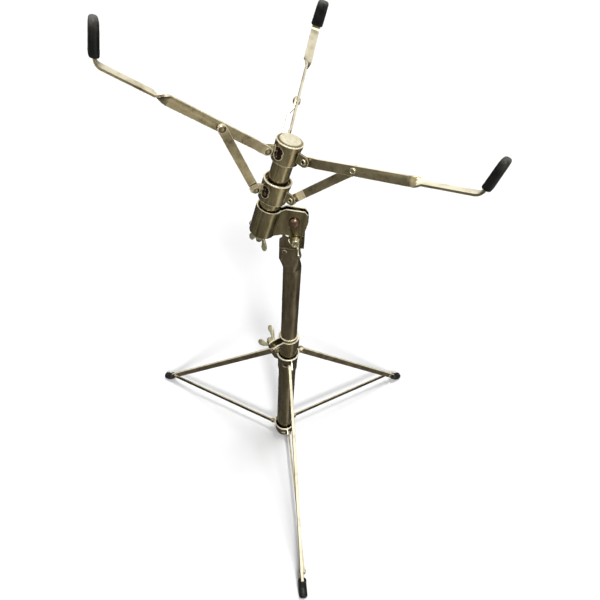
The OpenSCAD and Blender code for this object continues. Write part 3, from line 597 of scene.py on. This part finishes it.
def swivel_nut_seat():
    m = tilter_matrix() @ Matrix.Translation((0, 0, SWIVEL_SEAT * MM))
    return m @ Matrix.Rotation(math.radians(180), 4, "X")


wing_nut_piece("clamp_wing_nut", clamp_nut_seat(), direction=130, out=14.5, tall=22.5, bore=2.56)
wing_nut_piece("tilt_wing_nut", tilt_nut_seat(), direction=-45, out=12.5, tall=17.5, bore=2.56)
wing_nut_piece("swivel_wing_nut", swivel_nut_seat(), direction=-140, out=12.5, tall=18.0, bore=3.06)
for key in LEG_AZ:
    boot_piece(key)
    leg_piece(key)
for key in ARM_AZ:
    tip_piece(key)


# ---------------------------------------------------------------- CAD nodes with their edges broken
# edges sharper than this are broken, in degrees
SHARP = 32.0


def refined(node, finishes, width, crown, lit_edges):
    """A welded copy of a CAD node with its edges broken by width. crown(centre, normal) says which faces
    take the second finish, mostly a painted highlight; the last argument gives it to the broken edges too."""
    src = frame["nodes"][node]
    me = src.data.copy()
    me.name = node + "_look"
    me.materials.clear()
    me.transform(src.matrix_world)
    bm = bmesh.new()
    bm.from_mesh(me)
    bmesh.ops.remove_doubles(bm, verts=bm.verts, dist=WELD)
    bmesh.ops.dissolve_limit(bm, angle_limit=math.radians(1.0), verts=bm.verts, edges=bm.edges)
    bm.normal_update()
    for f in bm.faces:
        f.smooth = True
        f.material_index = 1 if crown and crown(f.calc_center_median(), f.normal) else 0
    bm.to_mesh(me)
    bm.free()
    me.set_sharp_from_angle(angle=math.radians(SHARP))
    ob = placed(node + "_look", me)
    if width:
        bev = ob.modifiers.new("broken_edges", "BEVEL")
        bev.width = width * MM
        bev.segments = 2
        bev.limit_method = "ANGLE"
        bev.angle_limit = math.radians(SHARP)
        bev.miter_outer = "MITER_ARC"
        bev.harden_normals = True
        bev.material = 1 if lit_edges and len(finishes) > 1 else -1
    stand_in(ob, node, finishes)


def arm_crown(az):
    """Upper side of an arm, which takes a painted top highlight: the narrow edge of its standing part, the
    flat of its outer part.
    """
    turn = arm_matrix(az).inverted().to_3x3()
    return lambda centre, normal: (turn @ normal).z > 0.8


def upward(centre, normal):
    return normal.z > 0.6


def sleeve_top():
    """Upper rim of the tilter's wrapped sheet, not the ledge down in its mouth."""
    inv = tilter_matrix().inverted()
    turn = inv.to_3x3()
    return lambda centre, normal: (turn @ normal).z > 0.6 and (inv @ centre).z > SLEEVE_LEDGE * MM


# finishes of a node's faces and of its broken edges by its material slot, where dress names no others; the
# second is a painted highlight
FINISH = {
    "nickel": [NICKEL, RIM_HIGHLIGHT],
    "brown_steel": [BROWN, BROWN_EDGE_HIGHLIGHT],
    "brown_rivet": [RIVET],
    "cream_plug": [CREAM],
}
# upper sides of the arms and struts: painted top highlights, one kind of plate in three brightnesses,
# chosen to even out the lights
ARM_TOP = {"left": TOP_HIGHLIGHT, "right": BRIGHT_TOP_HIGHLIGHT, "rear": DIM_TOP_HIGHLIGHT}
STRUT_TOP = {"left": TOP_HIGHLIGHT, "right": TOP_HIGHLIGHT, "rear": DIM_TOP_HIGHLIGHT}


def dress(node):
    """Finishes a CAD node whose shape is right."""
    # a second finish paints a highlight on the crown faces and, where the edges take it, on the broken
    # edges
    finishes, width, crown, lit_edges = FINISH[SLOT[node]], 0.3, None, True
    kind, _, key = node.rpartition("_")
    if kind == "arm" and key in ARM_AZ:
        finishes, crown = [STRIP, ARM_TOP[key]], arm_crown(ARM_AZ[key])
    elif kind == "strut" and key in ARM_AZ:
        # painted top highlight on the struts' upward faces
        finishes, crown = [STRIP, STRUT_TOP[key]], upward
    elif kind == "brace" and key in LEG_AZ:
        # braces: near-black plate as painted shade, and a painted highlight on the upward faces
        finishes, crown, width = [SHADED_STRIP, BRACE_TOP_HIGHLIGHT], upward, 0.0
    elif node.endswith("hub"):
        width = 0.45
    elif node == "tilter_sleeve":
        # painted rim highlight on the sleeve's upper rim and broken edges
        finishes, crown, width = [OLIVE, RIM_HIGHLIGHT], sleeve_top(), 0.25
    elif node == "tilt_strap":
        finishes = [TUBE, STRIP]
    elif node in ("lower_tube", "leg_collar", "bottom_collar", "height_clamp"):
        # painted rim highlight on upward faces, not on the broken edges
        finishes, crown, lit_edges = [TUBE, RIM_HIGHLIGHT], upward, False
    elif "rivet" in node or "pin" in node:
        finishes, width = finishes[:1], 0.12
    refined(node, finishes, width, crown, lit_edges)


for node in frame["nodes"]:
    if node not in REBUILT:
        dress(node)


# ---------------------------------------------------------------- lips, rivet ends and window backs
def lip(node, base, radius, height, thick):
    """Rolled lip round the rim of a pressed or turned piece, pale as a painted highlight: a ring of round
    section, whose outer radius and top are given and whose section has the radius thick."""
    section = []
    for degrees in range(0, 360, 36):
        a = math.radians(degrees)
        section.append((radius - thick + thick * math.cos(a), height - thick + thick * math.sin(a)))
    bm = bmesh.new()
    turned(bm, base, section, 72)
    add_on(closed_form(node + "_lip", bm), node, [RIM_HIGHLIGHT])


# closed profiles of a hollow rivet's rolled-over end and of a dark disc in it, painted shade in the hole:
# radius, height
ROLLED_RING = [(1.55, -0.3), (1.35, 0.2), (1.7, 0.62), (2.3, 0.78), (2.9, 0.6), (3.25, 0.15), (3.3, -0.3)]
HOLE_SHADE_DISC = [(0.0, 0.0), (1.0, 0.0), (1.5, 0.05), (1.5, -0.25), (0.0, -0.25)]


def rolled_end(node, tag, hinge, depth):
    """Rolled-over hollow end of a rivet: a pale ring round a dark disc, painted shade in the hole. hinge
    has its Y on the rivet's axis, and depth is how far in front of its origin the end sits."""
    place = hinge @ Matrix.Translation((0, -depth * MM, 0)) @ Matrix.Rotation(math.radians(90), 4, "X")
    for part, finish, profile in (("ring", BRIGHT, ROLLED_RING), ("hole", HOLE_SHADE, HOLE_SHADE_DISC)):
        bm = bmesh.new()
        turned(bm, place, profile, 28)
        bmesh.ops.remove_doubles(bm, verts=bm.verts, dist=WELD)
        add_on(closed_form(f"{node}_{tag}_{part}", bm), node, [finish])


def window_backs(node, base, azimuths, radius, middle, size):
    """Tube wall seen through a hub's or collar's punched windows, rust-brown and darkened as painted shade:
    one curved patch behind each, by the azimuths' order. middle is a patch's tangent offset and height,
    size its width and height."""
    columns, rows = 10, 6
    for k, az in enumerate(azimuths.values()):
        turn = base @ about_z(az)
        bm = bmesh.new()
        grid = []
        for i in range(rows + 1):
            z = middle[1] + size[1] * (i / rows - 0.5)
            row = []
            for j in range(columns + 1):
                t = middle[0] + size[0] * (j / columns - 0.5)
                row.append(bm.verts.new(turn @ (Vector((math.sqrt(radius ** 2 - t ** 2), t, z)) * MM)))
            grid.append(row)
        for a, b in zip(grid, grid[1:]):
            for j in range(columns):
                bm.faces.new((a[j], a[j + 1], b[j + 1], b[j])).smooth = True
        name = f"{node}_window_{k}"
        ob = placed(name, mesh_of(name, bm))
        wall = ob.modifiers.new("wall", "SOLIDIFY")
        wall.thickness = 0.1 * MM
        wall.offset = -1.0
        add_on(ob, node, [RUST_AND_SHADE])


lip("upper_hub", tilter_matrix(), radius=14.2, height=89.3, thick=0.75)
lip("lower_hub", tilter_matrix(), radius=15.6, height=44.8, thick=0.95)
lip("leg_collar", POST_FRAME, radius=16.5, height=222.6, thick=1.0)
lip("bottom_collar", POST_FRAME, radius=17.2, height=31.3, thick=0.95)
lip("lower_tube", POST_FRAME, radius=12.9, height=261.8, thick=0.7)

for key, az in ARM_AZ.items():
    on_arm = arm_matrix(az) @ Matrix.Translation((STRUT_ON_ARM * MM, 0, 0))
    rolled_end("arm_rivets", key, arm_matrix(az), EAR_FRONT)
    rolled_end("strut_rivets", key, hinge_matrix(az, STRUT_R, STRUT_S), EAR_FRONT)
    rolled_end("arm_" + key, "strut", on_arm, ARM_FRONT)

window_backs("upper_hub", tilter_matrix(), ARM_AZ, radius=10.95, middle=(5.3, ARM_S), size=(10.2, 14.6))
window_backs("lower_hub", tilter_matrix(), ARM_AZ, radius=11.0, middle=(5.4, STRUT_S), size=(10.4, 14.6))
window_backs("leg_collar", POST_FRAME, LEG_AZ, radius=12.9, middle=(-5.6, LEG_Z - 6.0), size=(10.6, 10.6))


# ---------------------------------------------------------------- stage and light
def make_floor():
    """Plain pale floor. It doesn't show in the metal, which reflects the world's room."""
    half = 4.0
    me = bpy.data.meshes.new("floor")
    me.from_pydata([(-half, -half, 0), (half, -half, 0), (half, half, 0), (-half, half, 0)], [],
                   [(0, 1, 2, 3)])
    m, g, bsdf, co = material("floor")
    g.link(g.ramp(g.noise(co, 3.0, 2.0), [(0.3, 0.90), (0.7, 0.92)]), bsdf.inputs["Base Color"])
    bsdf.inputs["Roughness"].default_value = 0.9
    bsdf.inputs["Specular IOR Level"].default_value = 0.1
    me.materials.append(m)
    ob = placed("floor", me)
    ob.visible_glossy = False


def aim(ob, direction):
    """Turns a light to shine along the direction."""
    ob.rotation_euler = direction.to_track_quat("-Z", "Y").to_euler()


def soft_box(name, place, target, size, energy):
    data = bpy.data.lights.new(name, "AREA")
    data.shape = "DISK"
    data.size = size
    data.energy = energy
    ob = placed(name, data)
    ob.location = place
    aim(ob, Vector(target) - Vector(place))


def sun(name, source, strength, spread):
    """Wide soft sun; source is where it stands as seen from the object."""
    data = bpy.data.lights.new(name, "SUN")
    data.energy = strength
    data.angle = math.radians(spread)
    aim(placed(name, data), -Vector(source))


# the bright card in the reflected room: its angle round the room, in radians, and its strength
CARD_TURN, CARD_GAIN = -0.75, 4.0
WHITE = (1.0, 1.0, 1.0)


def background(g, colour, strength):
    """Background shader; colour and strength are values or outputs."""
    n = g.node("ShaderNodeBackground")
    g.feed(n.inputs["Color"], colour)
    g.feed(n.inputs["Strength"], strength)
    return n.outputs[0]


def shader_mix(g, fac, a, b):
    n = g.node("ShaderNodeMixShader")
    for socket, output in zip(n.inputs, (fac, a, b)):
        g.link(output, socket)
    return n.outputs[0]


def reflected_room(g):
    """What polished metal sees: a bright ceiling, and below the horizon a dim room with darker and lighter
    bands round it, lighter in front than behind, and one bright card."""
    parts = g.node("ShaderNodeSeparateXYZ")
    g.link(g.node("ShaderNodeTexCoord").outputs["Generated"], parts.inputs[0])
    height = g.span(parts.outputs["Z"], -1.0, 1.0, 0.0, 1.0)
    room = g.ramp(height, [(0.0, 0.20), (0.14, 0.34), (0.30, 0.38), (0.47, 0.16), (0.56, 0.50),
                           (0.72, 0.95), (1.0, 1.0)])
    turn = g.math("ARCTAN2", parts.outputs["Y"], parts.outputs["X"])
    bands = g.node("ShaderNodeTexNoise", noise_dimensions="1D")
    g.link(turn, bands.inputs["W"])
    bands.inputs["Scale"].default_value = 3.6
    bands.inputs["Detail"].default_value = 3.0
    facing = g.span(g.math("SINE", turn), -1.0, 1.0, 1.35, 0.12)
    banded = g.math("MULTIPLY", g.span(bands.outputs["Fac"], 0.38, 0.64, 0.25, 2.1), facing)
    from_card = g.math("ABSOLUTE", g.math("SUBTRACT", turn, CARD_TURN))
    banded = g.math("ADD", banded, g.span(from_card, 0.05, 0.26, CARD_GAIN, 0.0))
    strength = g.node("ShaderNodeMix", data_type="FLOAT")
    g.link(g.math("LESS_THAN", parts.outputs["Z"], 0.0), strength.inputs[0])
    strength.inputs[2].default_value = 1.15
    g.link(banded, strength.inputs[3])
    warm = g.mix(1.0, room, (1.0, 0.96, 0.86), "MULTIPLY")
    return background(g, warm, strength.outputs[0])


def make_world():
    """White to the camera, a dim even white to matt surfaces, and the room in reflections."""
    w = bpy.data.worlds.new("studio")
    bpy.context.scene.world = w
    w.use_nodes = True
    w.node_tree.nodes.clear()
    g = Graph(w.node_tree)
    ray = g.node("ShaderNodeLightPath")
    even = background(g, WHITE, 0.22)
    seen = background(g, WHITE, 1.0)
    light = shader_mix(g, ray.outputs["Is Glossy Ray"], even, reflected_room(g))
    last = shader_mix(g, ray.outputs["Is Camera Ray"], light, seen)
    g.link(last, g.node("ShaderNodeOutputWorld").inputs["Surface"])


make_floor()
make_world()
sun("overhead", (0.16, 0.12, 1.5), strength=1.75, spread=15.0)
sun("front", (0.30, -1.07, 1.0), strength=1.9, spread=11.0)
soft_box("fill", (-1.2, -1.0, 1.6), target=(0.0, 0.0, 0.3), size=1.4, energy=2.0)
bpy.context.scene.view_settings.view_transform = "Standard"
